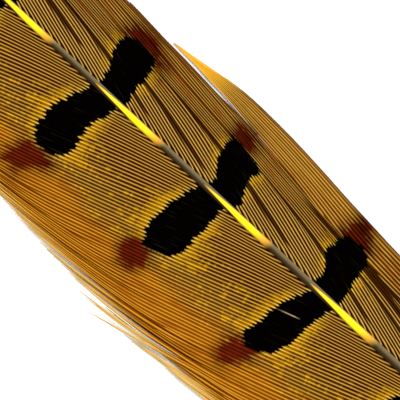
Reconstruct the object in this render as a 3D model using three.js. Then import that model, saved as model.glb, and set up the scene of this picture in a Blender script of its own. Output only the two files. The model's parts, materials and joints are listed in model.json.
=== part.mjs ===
// A long barred tail feather of a cock pheasant, lying on a table with its upper side up.
// Units are millimetres. X runs along the shaft from the quill to the tip, Y across it with the broad
// vane on +Y, and Z up from the table. The origin is the middle of the feather's box, on the table.

import * as THREE from 'three';
import { mergeVertices } from 'three/addons/utils/BufferGeometryUtils.js';

// Driving dimensions. Places along the shaft are distances from the end of the quill.
const FEATHER_LENGTH = 450;
const QUILL_BARE_LENGTH = 24;
const DOWN_END = 58;
const VANE_LAST_ROOT = 443;
const ARCH_HEIGHT = 4.4;
const ARCH_START = 30;

// Vane. A lock is a band of barbs that hold together. Its crest stands over its two edges, and its distal
// edge stands one shingle step over the next lock's proximal edge.
const LOCKS_OF_DOWN = 5;
const LOCKS_OF_VANE = 28;
const LOCKS_CROWD_TO_TIP = 0.27;
const VANE_THICKNESS = 0.5;
const THICKNESS_TO_SHAFT_MOST = 0.6;
const DOWN_THICKNESS = 2.8;
const SHINGLE_STEP = 0.14;
const LOCK_CREST = 0.08;
const LOCK_LIFT = 1.1;
const LOCKS_THAT_LIE_FLAT = 0.4;
const CAMBER = 1.8;

// Width along the shaft of the slope from one lock down to the next.
const SHINGLE_SLOPE = 0.5;

// How far along the barbs a lock's two edges reach, as a share of its crest.
const EDGE_REACH_VANE = 0.93;
const EDGE_REACH_DOWN = 0.8;
const REACH_SCATTER = 0.035;

// Beyond the vane's edge a barb goes on as it ran there: share of its sweep for each share of its reach.
const COURSE_BEYOND_EDGE = 2.1;

// The vanes leave the shaft at half its height.
const ATTACH_HEIGHT = 0.5;

// Length over which the vane closes on the shaft before its first lock and after its last.
const VANE_END_STEP = 0.2;

// The shaft's section, in shares of its width out and up: upper flat, and keel with a flat to rest on.
const SHAFT_TOP = [[0.3, 0.98], [-0.3, 0.98]];
const SHAFT_KEEL = [[-0.38, 0.13], [-0.15, 0], [0.15, 0], [0.38, 0.13]];

// Points closer than this are one point.
const MERGE_DISTANCE = 1e-4;

// Places of the shaft's sections where it carries no barbs.
const QUILL_SECTIONS = [0, 1.5, 5, 12];

// Shaft width along the feather: quill end, quill, then a long taper to a hair.
const shaftWidth = profile([
  [0, 1.7], [4, 2.6], [12, 3.0], [28, 2.9], [60, 2.35], [100, 1.75], [150, 1.28],
  [225, 1.04], [300, 0.82], [370, 0.62], [430, 0.45], [450, 0.4],
]);

// Outline of the two vanes: distance of the barb tips from the shaft's middle.
const BROAD = {
  side: 1,
  width: profile([
    [24, 7], [36, 13], [56, 17.5], [80, 19.8], [110, 22.2], [140, 23.1], [166, 22.9],
    [210, 21.3], [250, 19.7], [300, 17.2], [350, 13.8], [400, 9.3], [430, 5.4], [450, 0.5],
  ]),
  sweep: profile([
    [24, 6], [40, 16], [50, 26], [60, 44], [70, 63], [80, 78], [90, 83.7], [110, 83.5], [150, 78],
    [185, 73], [220, 68.5], [250, 64.5], [300, 55], [350, 43.5], [400, 28], [425, 16], [443, 6.5],
  ]),
  // A barb's course: share of its sweep along the shaft against share of its reach outward.
  course: profile([
    [0, 0], [0.1, 0.1], [0.24, 0.217], [0.5, 0.405], [0.76, 0.61], [0.87, 0.713], [0.93, 0.8], [1, 1],
  ]),
  // Locks whose barbs stray out past the edge in a wisp, by their place on the shaft.
  wisps: [{ root: 74, reach: 1.06 }, { root: 88, reach: 1.13 }, { root: 102, reach: 1.08 }],
  seed: 11,
};
const NARROW = {
  side: -1,
  width: profile([
    [24, 6], [36, 11], [56, 15.4], [68, 16.2], [84, 13.2], [104, 11.7], [120, 11.8], [158, 12.0],
    [172, 13.2], [187, 14.1], [198, 13.3], [206, 12.1], [225, 12.1], [250, 11.2], [300, 9.6], [350, 7.8],
    [400, 5.2], [430, 3.0], [450, 0.4],
  ]),
  sweep: profile([
    [24, 5], [40, 14], [50, 24], [60, 41], [70, 58], [80, 71], [95, 82], [130, 82], [150, 80.5],
    [170, 76.5], [185, 74], [220, 67], [250, 62], [300, 51.5], [350, 41], [400, 24], [425, 14], [443, 6],
  ]),
  course: profile([
    [0, 0], [0.15, 0.076], [0.3, 0.156], [0.42, 0.235], [0.55, 0.358], [0.75, 0.631], [0.9, 0.817], [1, 1],
  ]),
  wisps: [],
  seed: 29,
};

// Shares of a barb's reach at which a lock has vertices.
const LOCK_ROWS = [0, 0.1, 0.26, 0.48, 0.7, 0.86, 1];

// A smooth curve through [place, value] pairs that never overshoots them.
function profile(points) {
  const slopes = points.slice(1).map(([x, y], i) => (y - points[i][1]) / (x - points[i][0]));
  const tangents = points.map((_, i) => {
    const before = slopes[i - 1] ?? slopes[0];
    const after = slopes[i] ?? slopes[slopes.length - 1];
    return before * after <= 0 ? 0 : (2 * before * after) / (before + after);
  });
  return (x) => {
    const inside = THREE.MathUtils.clamp(x, points[0][0], points[points.length - 1][0]);
    let i = points.findIndex(([place]) => place >= inside) - 1;
    i = Math.max(i, 0);
    const span = points[i + 1][0] - points[i][0];
    const u = (inside - points[i][0]) / span;
    const rise = points[i + 1][1] - points[i][1];
    const bend = u * (1 - u) * ((tangents[i] * span - rise) * (1 - u) + (rise - tangents[i + 1] * span) * u);
    return points[i][1] + rise * u + bend;
  };
}

// Repeatable numbers from 0 to 1.
function scatter(seed) {
  let state = seed;
  return () => {
    state = (state * 16807) % 2147483647;
    return state / 2147483647;
  };
}

// Height of the shaft's underside: the quill lies flat, and the shaft rises in a long low arch.
function shaftUnderside(s) {
  const along = THREE.MathUtils.clamp((s - ARCH_START) / (FEATHER_LENGTH - ARCH_START), 0, 1);
  return ARCH_HEIGHT * Math.sin(Math.PI * along) ** 1.3;
}

// Half the vane's thickness where it leaves the shaft.
function halfThickness(s) {
  return Math.min(VANE_THICKNESS, THICKNESS_TO_SHAFT_MOST * shaftWidth(s)) / 2;
}

// Places on the shaft where one lock ends and the next begins, from the quill to the tip.
function lockRoots() {
  const roots = [];
  for (let i = 0; i < LOCKS_OF_DOWN; i += 1) {
    roots.push(THREE.MathUtils.lerp(QUILL_BARE_LENGTH, DOWN_END, i / LOCKS_OF_DOWN));
  }
  for (let i = 0; i <= LOCKS_OF_VANE; i += 1) {
    const u = i / LOCKS_OF_VANE;
    roots.push(THREE.MathUtils.lerp(DOWN_END, VANE_LAST_ROOT, u * (1 + LOCKS_CROWD_TO_TIP * (1 - u))));
  }
  return roots;
}

// One vane's columns of vertices: proximal edge, crest and distal edge of each lock.
function lockColumns(vane) {
  const random = scatter(vane.seed);
  const roots = lockRoots();
  const columns = [];
  let edgeReach = EDGE_REACH_DOWN;
  for (let k = 0; k + 1 < roots.length; k += 1) {
    const thickness = k < LOCKS_OF_DOWN ? DOWN_THICKNESS : VANE_THICKNESS;
    const lift = LOCK_LIFT * Math.max(random() - LOCKS_THAT_LIE_FLAT, 0);
    const nextEdge = k + 1 < LOCKS_OF_DOWN ? EDGE_REACH_DOWN : EDGE_REACH_VANE;
    const nextReach = nextEdge - REACH_SCATTER * random();
    const wisp = vane.wisps.find(({ root }) => root >= roots[k] && root < roots[k + 1]);
    const crestScatter = REACH_SCATTER * random();
    const crestReach = wisp ? wisp.reach : 1 - crestScatter;
    const crestSwell = (thickness / VANE_THICKNESS - 1) * VANE_THICKNESS / 2 + LOCK_CREST;
    const start = roots[k] + SHINGLE_SLOPE / 2;
    const end = roots[k + 1] - SHINGLE_SLOPE / 2;
    columns.push({ root: start, reach: edgeReach, swell: 0, step: -SHINGLE_STEP, lift });
    columns.push({ root: (start + end) / 2, reach: crestReach, swell: crestSwell, step: 0, lift });
    columns.push({ root: end, reach: nextReach, swell: 0, step: SHINGLE_STEP, lift });
    edgeReach = nextReach;
  }
  return columns;
}

// A column's upper and lower points, from the shaft's side out to the barb tips.
function columnPoints(vane, column) {
  const { root, reach } = column;
  const sweep = vane.sweep(root);
  const tipOut = vane.width(root + sweep);
  const shaftSide = shaftWidth(root) / 2;
  const attach = shaftUnderside(root) + ATTACH_HEIGHT * shaftWidth(root);
  const atShaft = halfThickness(root);
  const upper = [];
  const lower = [];
  for (const row of LOCK_ROWS) {
    const share = row * reach;
    const beyond = Math.max(share - 1, 0) * COURSE_BEYOND_EDGE;
    const s = root + sweep * (vane.course(share) + beyond);
    const y = vane.side * THREE.MathUtils.lerp(shaftSide, tipOut, share);
    const away = Math.min(row / LOCK_ROWS[1], 1);
    const half = atShaft + away * column.swell * Math.sin(Math.PI * Math.min(row + 0.12, 0.9));
    const step = away * column.step * (atShaft / (VANE_THICKNESS / 2));
    const bed = half + SHINGLE_STEP + column.lift * row ** 4;
    const middle = row === 0 ? attach : bed + Math.max(attach - bed, 0) * (1 - row ** CAMBER);
    upper.push([s, y, middle + step + half]);
    lower.push([s, y, middle + step - half]);
  }
  return { upper, lower };
}

// The same points where the shaft carries no barbs: all of them lie on the shaft's side.
function barePoints(vane, s) {
  const y = (vane.side * shaftWidth(s)) / 2;
  const attach = shaftUnderside(s) + ATTACH_HEIGHT * shaftWidth(s);
  const half = halfThickness(s);
  return {
    upper: LOCK_ROWS.map(() => [s, y, attach + half]),
    lower: LOCK_ROWS.map(() => [s, y, attach - half]),
  };
}

// A closed ring round the whole feather at one place on the shaft, with one column of each vane:
// over the top from the broad vane's tips to the narrow vane's, and back underneath.
function featherRing(s, broad, narrow) {
  const onShaft = ([out, up]) => [s, out * shaftWidth(s), shaftUnderside(s) + up * shaftWidth(s)];
  return [
    ...[...broad.upper].reverse(),
    ...SHAFT_TOP.map(onShaft),
    ...narrow.upper,
    ...[...narrow.lower].reverse(),
    ...SHAFT_KEEL.map(onShaft),
    ...broad.lower,
  ];
}

// A closed body lofted through the rings. Points that meet are merged, and flat leftovers dropped.
function loft(rings) {
  const count = rings[0].length;
  const index = [];
  for (let r = 0; r + 1 < rings.length; r += 1) {
    for (let i = 0; i < count; i += 1) {
      const a = r * count + i;
      const b = r * count + ((i + 1) % count);
      index.push(a, b, b + count, a, b + count, a + count);
    }
  }
  const last = (rings.length - 1) * count;
  for (let i = 1; i + 1 < count; i += 1) {
    index.push(0, i + 1, i);
    index.push(last, last + i, last + i + 1);
  }
  const loose = new THREE.BufferGeometry();
  loose.setAttribute('position', new THREE.Float32BufferAttribute(rings.flat(2), 3));
  loose.setIndex(index);
  const merged = mergeVertices(loose, MERGE_DISTANCE);
  const kept = [];
  const corners = merged.index.array;
  for (let i = 0; i < corners.length; i += 3) {
    const [a, b, c] = corners.slice(i, i + 3);
    if (a !== b && b !== c && c !== a) {
      kept.push(a, b, c);
    }
  }
  merged.setIndex(kept);
  return merged;
}

// The whole feather grew as one piece, so quill, shaft, down and both vanes are one solid.
function featherGeometry() {
  const broad = lockColumns(BROAD);
  const narrow = lockColumns(NARROW);
  const bareRing = (s) => featherRing(s, barePoints(BROAD, s), barePoints(NARROW, s));
  const rings = QUILL_SECTIONS.map(bareRing);
  rings.push(bareRing(QUILL_BARE_LENGTH - VANE_END_STEP));
  broad.forEach((column, i) => {
    rings.push(featherRing(column.root, columnPoints(BROAD, column), columnPoints(NARROW, narrow[i])));
  });
  rings.push(bareRing(VANE_LAST_ROOT + VANE_END_STEP));
  rings.push(bareRing(FEATHER_LENGTH));
  const geometry = loft(rings);
  geometry.computeBoundingBox();
  const { min, max } = geometry.boundingBox;
  geometry.translate(-(min.x + max.x) / 2, -(min.y + max.y) / 2, -min.z);
  geometry.computeVertexNormals();
  return geometry;
}

const keratin = new THREE.MeshStandardMaterial({ color: 0x93661a, roughness: 0.62, metalness: 0 });
const feather = new THREE.Mesh(featherGeometry(), keratin);
feather.name = 'feather';

const group = new THREE.Group();
group.add(feather);

export default group;
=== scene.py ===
import json
import math

import bpy
import numpy as np
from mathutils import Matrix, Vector


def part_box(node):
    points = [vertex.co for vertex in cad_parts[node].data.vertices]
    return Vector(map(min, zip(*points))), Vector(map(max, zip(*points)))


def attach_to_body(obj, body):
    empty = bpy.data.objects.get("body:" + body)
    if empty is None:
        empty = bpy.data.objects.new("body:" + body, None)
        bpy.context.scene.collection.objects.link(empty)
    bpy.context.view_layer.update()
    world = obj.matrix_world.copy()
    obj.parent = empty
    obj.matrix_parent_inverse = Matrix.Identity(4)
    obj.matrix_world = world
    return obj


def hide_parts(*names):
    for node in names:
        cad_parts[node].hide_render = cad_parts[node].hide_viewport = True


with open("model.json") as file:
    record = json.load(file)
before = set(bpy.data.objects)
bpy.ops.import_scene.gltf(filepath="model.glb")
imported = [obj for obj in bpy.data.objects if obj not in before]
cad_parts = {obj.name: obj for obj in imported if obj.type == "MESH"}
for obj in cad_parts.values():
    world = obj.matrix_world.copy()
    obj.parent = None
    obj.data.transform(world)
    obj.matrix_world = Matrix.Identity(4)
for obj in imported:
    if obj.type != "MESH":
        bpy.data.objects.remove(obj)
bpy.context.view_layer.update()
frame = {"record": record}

# A pheasant's tail feather, upper side up. Feather coordinates are millimetres: s runs along the shaft
# from the end of the quill, t out from the shaft's middle with the broad vane positive, z up from the table.
MM = 0.001
box_lo, box_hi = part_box("feather")
FEATHER_LENGTH = (box_hi[0] - box_lo[0]) / MM
SHAFT_Y = frame["record"]["mounts"][0]["pos_m"][1]


# ---------------------------------------------------------------- curves and places

def curve(*points):
    """A smooth curve through (place, value) pairs that never overshoots them."""
    xs, ys = np.array(points, float).T
    steps = np.diff(xs)
    slopes = np.diff(ys) / steps
    before = np.concatenate([slopes[:1], slopes])
    after = np.concatenate([slopes, slopes[-1:]])
    same_way = before * after > 0
    tangents = np.where(same_way, 2 * before * after / np.where(same_way, before + after, 1), 0)

    def value(x):
        x = np.clip(x, xs[0], xs[-1])
        i = np.clip(np.searchsorted(xs, x, side="right") - 1, 0, len(steps) - 1)
        u = (x - xs[i]) / steps[i]
        rise = ys[i + 1] - ys[i]
        start_bend = (tangents[i] * steps[i] - rise) * (1 - u)
        end_bend = (rise - tangents[i + 1] * steps[i]) * u
        return ys[i] + rise * u + u * (1 - u) * (start_bend + end_bend)

    return value


def smoothstep(low, high, x):
    u = np.clip((x - low) / (high - low), 0, 1)
    return u * u * (3 - 2 * u)


def to_world(s, t, z):
    """Feather coordinates to metres in the CAD frame, as an array of points."""
    return np.stack([box_lo[0] + s * MM, SHAFT_Y + t * MM, z * MM], axis=-1)


# The arch, the start of the down and the shaft's width are the part's, but for a finer tip here.
ARCH_HEIGHT = 4.4
ARCH_START = 30
DOWN_START = 24

shaft_width = curve((0, 1.7), (4, 2.6), (12, 3.0), (28, 2.9), (60, 2.35), (100, 1.75), (150, 1.28),
                    (225, 1.04), (300, 0.82), (370, 0.62), (430, 0.45), (450, 0.3))


def shaft_underside(s):
    along = np.clip((s - ARCH_START) / (FEATHER_LENGTH - ARCH_START), 0, 1)
    return ARCH_HEIGHT * np.sin(np.pi * along) ** 1.3


# Roots of the last barb of each lock on the narrow vane, where the locks are drawn as in the photo.
# Elsewhere they fall by chance.
DRAWN_LOCK_ENDS = [82.0, 117.0, 126.0, 135.5, 148.6, 165.0, 182.5, 194.0, 205.5, 219.0]


class Vane:
    """One side of the feather: its outline, and how its barbs sweep forward and gather in locks.

    width, sweep, flare and cling are given by place on the shaft: the vane's width, how far a barb runs
    forward, how far a lock may leave the edge, and the share by which its barbs draw together at their ends.
    course is a barb's share of its sweep by its share of the way out. It began as points picked from the
    angles measured in the photo, and was reworked. Bunching and the slits' painted shadow are given by
    distance out.
    """

    def __init__(self, name, **values):
        self.name = name
        for key, value in values.items():
            is_curve = key in ("width", "sweep", "course", "flare", "cling")
            setattr(self, key, curve(*value) if is_curve else value)


BROAD = Vane(
    "broad", side=1, seed=101,
    width=[(24, 7), (36, 13), (56, 17.5), (80, 19.8), (110, 22.0), (140, 23.0), (166, 23.4), (190, 23.0),
           (202, 22.4), (212, 21.7), (250, 19.9), (300, 17.2), (350, 13.8), (400, 9.3), (430, 5.4),
           (450, 0.5)],
    sweep=[(24, 6), (40, 16), (50, 26), (60, 44), (70, 63), (80, 78), (90, 83.7), (110, 83.5), (150, 78),
           (185, 73), (220, 68.5), (250, 64.5), (300, 55), (350, 43.5), (400, 28), (425, 16), (443, 6.5)],
    course=[(0, 0), (0.1, 0.1), (0.24, 0.217), (0.5, 0.405), (0.76, 0.61), (0.87, 0.713), (0.93, 0.8),
            (0.975, 0.9), (1, 1)],
    normal_width=22.3, lock_sizes=(3, 8), drawn_lock_ends=[],
    bunch=(1.3, 1.8), bunch_start=17.5, bunch_full=21.5,
    flare=[(50, 0.2), (80, 0.3), (90, 0.6), (96, 1.2), (104, 1.3), (110, 0.9), (118, 0.35), (150, 0.25),
           (443, 0.15)],
    cling=[(50, 0.02), (72, 0.06), (84, 0.5), (108, 0.5), (120, 0.35), (443, 0.3)],
    slit_shadow_begin=(17.5, 20.0), slit_shadow_reach=(2.0, 5.0), slit_shadow_depth=(0.03, 0.24),
)
NARROW = Vane(
    "narrow", side=-1, seed=202,
    width=[(24, 6), (36, 11), (56, 14.0), (80, 12.2), (104, 11.7), (120, 11.9), (160, 12.0), (180, 11.5),
           (190, 11.35), (195, 11.52), (200, 11.58), (204, 11.65), (208, 11.95), (213, 12.15), (225, 12.2),
           (250, 11.2), (300, 9.6), (350, 7.8), (400, 5.2), (430, 3.0), (450, 0.4)],
    sweep=[(24, 5), (40, 14), (50, 24), (60, 41), (70, 58), (80, 71), (95, 82), (130, 82), (150, 80.5),
           (170, 76.5), (185, 74), (220, 67), (250, 62), (300, 51.5), (350, 41), (400, 24), (425, 14),
           (443, 6)],
    course=[(0, 0), (0.15, 0.076), (0.3, 0.156), (0.42, 0.235), (0.55, 0.358), (0.75, 0.631), (0.9, 0.817),
            (1, 1)],
    normal_width=12.1, lock_sizes=(5, 12), drawn_lock_ends=DRAWN_LOCK_ENDS,
    bunch=(1.9, 2.1), bunch_start=3.0, bunch_full=8.9,
    flare=[(50, 0.05), (80, 0.05), (84, 0.0), (116, 0.0), (120, 0.03), (443, 0.03)],
    cling=[(50, 0.02), (78, 0.05), (84, 0.0), (116, 0.0), (120, 0.1), (443, 0.1)],
    slit_shadow_begin=(1.5, 2.8), slit_shadow_reach=(4.6, 6.8), slit_shadow_depth=(0.6, 1.15),
)

# ---------------------------------------------------------------- the pattern of bars

# Middle of each dark bar along the shaft. They crowd together towards the tip. The three from
# FIRST_DRAWN_BAR are the photo's, and the others are guessed.
BAR_PLACES = [56.5, 76.5, 97.5, 119.0, 140.8, 162.4, 183.8, 205.9, 228.0, 249.5, 270.6, 291.4, 311.8,
              331.6, 350.8, 369.2, 386.6, 402.8, 417.4, 429.6, 439.5]
FIRST_DRAWN_BAR = 5

# Outlines of the photo's three bars, read off it in millimetres, as (distance from the shaft,
# distance tipward of the bar's middle).
# Each vane's list runs out along the edge nearer the tip and back along the edge nearer the quill.
DRAWN_BARS = [
    {"broad": [(0.9, 1.8), (2.2, 2.7), (4.3, 3.7), (6.9, 4.2), (9.4, 4.4), (11.8, 4.9), (13.1, 4.4),
               (13.2, 2.4), (11.9, 0.1), (10.4, -0.9), (8.3, -1.4), (6.1, -1.4), (3.7, -1.6), (0.9, -2.1)],
     "narrow": [(0.9, 2.2), (2.4, 2.1), (4.0, 2.7), (5.1, 4.0), (6.1, 4.2), (7.3, 3.6), (8.6, 3.9),
                (9.1, 1.5), (8.6, -1.2), (6.9, -1.9), (5.1, -1.6), (3.0, -2.3), (1.2, -2.3)]},
    {"broad": [(0.9, 3.6), (3.3, 4.1), (5.1, 4.8), (8.2, 5.0), (10.7, 5.0), (12.8, 3.7),
               (11.5, -0.1), (11.0, -1.0), (8.6, -1.7), (6.9, -1.6), (4.3, -1.7), (1.2, -1.7)],
     "narrow": [(0.9, 2.4), (1.9, 1.8), (3.0, 2.7), (4.0, 3.7), (6.1, 4.3), (8.0, 4.6),
                (6.9, -1.9), (5.1, -1.3), (3.4, -1.9), (1.6, -3.0), (0.9, -2.8)]},
    {"broad": [(0.6, 3.3), (2.7, 3.6), (4.3, 4.5), (6.3, 4.9), (8.2, 5.4), (10.2, 5.2), (11.8, 4.6),
               (12.5, 3.4), (12.1, 0.4), (11.0, -0.9), (9.4, -1.3), (8.2, -1.5), (6.6, -0.7), (5.5, -1.0),
               (3.7, -1.3), (2.2, -1.9), (0.6, -2.1)],
     "narrow": [(1.2, 2.1), (3.0, 2.5), (4.0, 3.2), (5.3, 4.0), (7.2, 4.5), (8.0, 4.3), (8.6, 3.4),
                (8.3, -1.5), (7.3, -1.6), (5.3, -2.1), (3.4, -1.9), (0.9, -2.6)]},
]

# Outlines of the rufous spots at those bars' outer ends, in the same terms.
DRAWN_SPOTS = [
    {"broad": [(12.6, 4.6), (12.8, 1.6), (14.2, 1.2), (15.4, 2.0), (16.6, 3.0), (18.2, 4.0), (17.8, 5.4),
               (15.8, 6.0), (14.0, 5.8)],
     "narrow": [(8.6, 4.3), (9.9, 4.4), (11.0, 4.0), (12.8, 3.8), (13.0, 1.0), (11.2, 0.2), (10.4, -0.8),
                (9.4, -1.0), (8.5, 0.8)]},
    {"broad": [(12.5, 4.7), (12.7, 2.0), (14.2, 1.3), (15.8, 1.5), (17.3, 2.8), (17.4, 4.5), (15.5, 5.7),
               (14.0, 5.7)],
     "narrow": [(7.9, 5.0), (9.2, 5.2), (10.5, 4.8), (10.9, 3.0), (10.5, 1.6), (9.3, 0.8), (7.9, 0.8),
                (7.5, 2.5)]},
    {"broad": [(12.6, 4.4), (12.7, 0.0), (14.3, -0.6), (15.4, 0.9), (16.6, 2.4), (18.0, 3.3), (17.7, 6.0),
               (15.6, 5.8), (14.0, 5.0)],
     "narrow": [(8.1, 4.8), (9.3, 5.2), (10.9, 4.2), (11.4, 1.9), (10.8, 0.1), (9.7, -1.2), (9.1, -3.4),
                (7.9, -3.0), (8.1, 0.5)]},
]

# Full width of each vane and the bars' spacing where the drawn bars lie, to which the others are scaled.
DRAWN_WIDTH = {"broad": 22.3, "narrow": 12.1}
DRAWN_SPACING = 21.75

# The other bars vary about that in reach and in length. Every outline starts beyond the shaft's middle.
BAR_SEEDS = {"broad": 31, "narrow": 32}
BAR_REACH_VARIES = (0.94, 1.06)
BAR_LENGTH_VARIES = (0.88, 1.08)
PAST_MIDDLE = -0.8


def polygon_distance(points, corners):
    """Signed distance of points from a polygon's edge, negative inside."""
    nearest = np.full(len(points), np.inf)
    inside = np.zeros(len(points), bool)
    for a, b in zip(corners, np.roll(corners, -1, axis=0)):
        edge = b - a
        offset = points - a
        share = np.clip(offset @ edge / (edge @ edge), 0, 1)
        nearest = np.minimum(nearest, np.hypot(*(offset - share[:, None] * edge).T))
        crosses = (a[1] > points[:, 1]) != (b[1] > points[:, 1])
        run = np.where(edge[1] == 0, 1e-9, edge[1])
        inside ^= crosses & (points[:, 0] < a[0] + (points[:, 1] - a[1]) * edge[0] / run)
    return np.where(inside, -nearest, nearest)


def bar_shapes(vane):
    """Each bar's and each spot's outline on one vane, in feather coordinates with t counted outward."""
    wobble = np.random.default_rng(BAR_SEEDS[vane.name])
    shapes = []
    for i, (place, spacing) in enumerate(zip(BAR_PLACES, np.gradient(BAR_PLACES))):
        drawn = 0 <= i - FIRST_DRAWN_BAR < len(DRAWN_BARS)
        pick = i - FIRST_DRAWN_BAR if drawn else int(wobble.integers(len(DRAWN_BARS)))
        out_scale = along_scale = 1
        if not drawn:
            out_scale = vane.width(place) / DRAWN_WIDTH[vane.name] * wobble.uniform(*BAR_REACH_VARIES)
            along_scale = spacing / DRAWN_SPACING * wobble.uniform(*BAR_LENGTH_VARIES)
        bar = np.array(DRAWN_BARS[pick][vane.name])
        bar = np.concatenate([[[PAST_MIDDLE, bar[0][1]]], bar, [[PAST_MIDDLE, bar[-1][1]]]])
        spot = np.array(DRAWN_SPOTS[pick][vane.name])
        shapes.append([np.stack([place + ahead * along_scale, out * out_scale], axis=1)
                       for out, ahead in (bar.T, spot.T)])
    return shapes


# Beyond this distance, in millimetres, a bar has no effect on the colour.
FAR = 12.0
SHAPE_REACH = 2 * FAR

# How far back from a bar's edges its black begins on a rib, along the barb.
TOOTH_LENGTH = 0.5

# A halo dies away beyond its bar's outer end this much faster than beside the bar, and starts to this far
# before that end.
HALO_PAST_END = 3.0
HALO_END_MARGIN = 0.6


def pattern(vane, s, out, ahead_s, ahead_out):
    """Distances that steer the colour at points of the barbs, given the barbs' unit direction there.

    bar and bar_rib are negative in a bar's black on the web and on the rib, spot is negative in a rufous
    spot, and beside is the distance from a bar's nearest edge along the shaft.
    """
    bar, bar_rib, spot, beside = (np.full(s.shape, FAR) for _ in range(4))
    for bar_corners, spot_corners in bar_shapes(vane):
        near = np.abs(s - bar_corners[:, 0].mean()) < SHAPE_REACH
        here = np.stack([s[near], out[near]], axis=1)
        along = TOOTH_LENGTH * np.stack([ahead_s[near], ahead_out[near]], axis=1)
        bar[near] = np.minimum(bar[near], polygon_distance(here, bar_corners))
        before = polygon_distance(here + along, bar_corners)
        behind = polygon_distance(here - along, bar_corners)
        bar_rib[near] = np.minimum(bar_rib[near], np.maximum(before, behind))
        spot[near] = np.minimum(spot[near], polygon_distance(here, spot_corners))
        far_end = int(np.argmax(bar_corners[:, 1]))
        tipward, quillward = bar_corners[:far_end + 1], bar_corners[far_end:][::-1]
        past_tipward = here[:, 0] - np.interp(here[:, 1], tipward[:, 1], tipward[:, 0])
        past_quillward = np.interp(here[:, 1], quillward[:, 1], quillward[:, 0]) - here[:, 0]
        past_end = np.maximum(here[:, 1] - bar_corners[far_end, 1] + HALO_END_MARGIN, 0)
        past_edge = np.maximum(past_tipward, past_quillward) + HALO_PAST_END * past_end
        beside[near] = np.minimum(beside[near], past_edge)
    return bar, bar_rib, spot, beside


# ---------------------------------------------------------------- meshes

def make_mesh(name, points, quads, triangles, attributes, material):
    """One smooth mesh object from arrays of points, four- and three-cornered faces, and values per point."""
    mesh = bpy.data.meshes.new(name)
    mesh.vertices.add(len(points))
    mesh.vertices.foreach_set("co", points.astype(np.float32).ravel())
    corners = np.concatenate([quads.ravel(), triangles.ravel()]).astype(np.int32)
    sizes = np.concatenate([np.full(len(quads), 4), np.full(len(triangles), 3)]).astype(np.int32)
    starts = np.concatenate([[0], np.cumsum(sizes)[:-1]]).astype(np.int32)
    mesh.loops.add(len(corners))
    mesh.loops.foreach_set("vertex_index", corners)
    mesh.polygons.add(len(sizes))
    mesh.polygons.foreach_set("loop_start", starts)
    mesh.polygons.foreach_set("use_smooth", np.ones(len(sizes), bool))
    mesh.update(calc_edges=True)
    mesh.validate()
    for key, values in attributes.items():
        layer = mesh.attributes.new(key, "FLOAT", "POINT")
        layer.data.foreach_set("value", values.astype(np.float32).ravel())
    mesh.materials.append(material)
    piece = bpy.data.objects.new(name, mesh)
    bpy.context.collection.objects.link(piece)
    return piece


def tube_faces(count, stations, corners, flip):
    """Faces of many closed tubes at once: walls as quads, and a fan over each end."""
    tube = np.arange(count)[:, None, None] * stations * corners
    row = np.arange(stations - 1)[None, :, None] * corners
    here = np.arange(corners)[None, None, :]
    after = (here + 1) % corners
    a, b = tube + row + here, tube + row + after
    walls = np.stack([a, b, b + corners, a + corners], axis=-1).reshape(-1, 4)
    fan = np.arange(1, corners - 1)
    first = np.arange(count)[:, None] * stations * corners
    last = first + (stations - 1) * corners
    start = np.stack([first + 0 * fan, first + fan + 1, first + fan], axis=-1).reshape(-1, 3)
    end = np.stack([last + 0 * fan, last + fan, last + fan + 1], axis=-1).reshape(-1, 3)
    ends = np.concatenate([start, end])
    if flip:
        walls = walls[:, ::-1]
        ends = ends[:, ::-1]
    return walls, ends


# ---------------------------------------------------------------- node materials

def rgb(red, green, blue):
    """A colour seen on a screen, from 0 to 1, as the linear colour a shader takes."""
    def linear(c):
        return c / 12.92 if c <= 0.04045 else ((c + 0.055) / 1.055) ** 2.4
    return (linear(red), linear(green), linear(blue), 1.0)


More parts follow.
